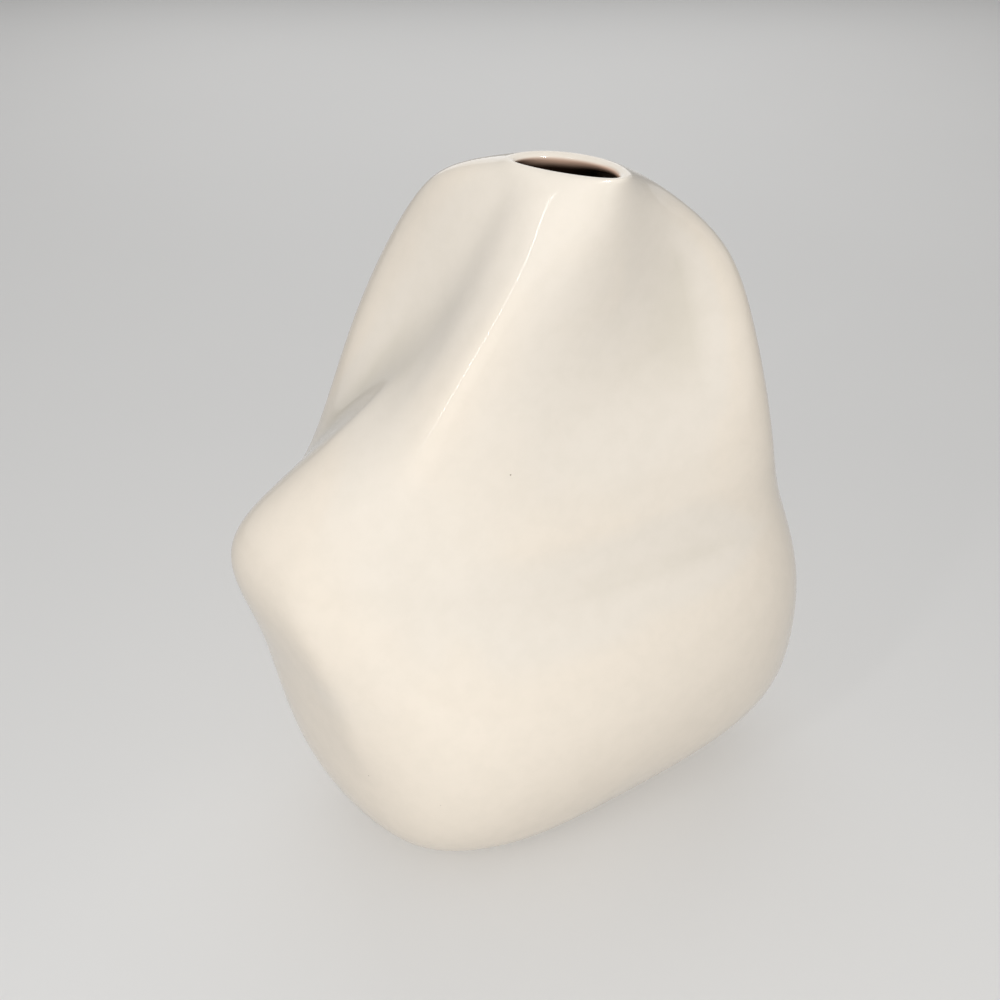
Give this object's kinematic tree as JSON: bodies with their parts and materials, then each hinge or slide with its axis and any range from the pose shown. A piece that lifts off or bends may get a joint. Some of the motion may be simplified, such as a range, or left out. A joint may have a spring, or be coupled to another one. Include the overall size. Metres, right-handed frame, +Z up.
{
  "type": "pillow vase",
  "caption": "Free-form pillow-shaped ceramic vase with soft folds, a narrow oval mouth in the top and a glossy cream-white glaze, standing on a bare oval foot ring.",
  "frame": {"origin": "on the resting plane, under the middle of the vase's overall width and depth", "axes": "+Z up along the height; +X along the wide direction, towards the rounder end; -Y the way the broad front face looks"},
  "size_m": [0.1848, 0.1144, 0.217],
  "materials": {
    "bare_clay": "matt, fired and unglazed",
    "outer_glaze": "glossy",
    "liner_glaze": "glossy"
  },
  "bodies": {
    "root": {"clay_body": "bare_clay", "outer_glaze": "outer_glaze", "liner_glaze": "liner_glaze"}
  },
  "joints": []
}
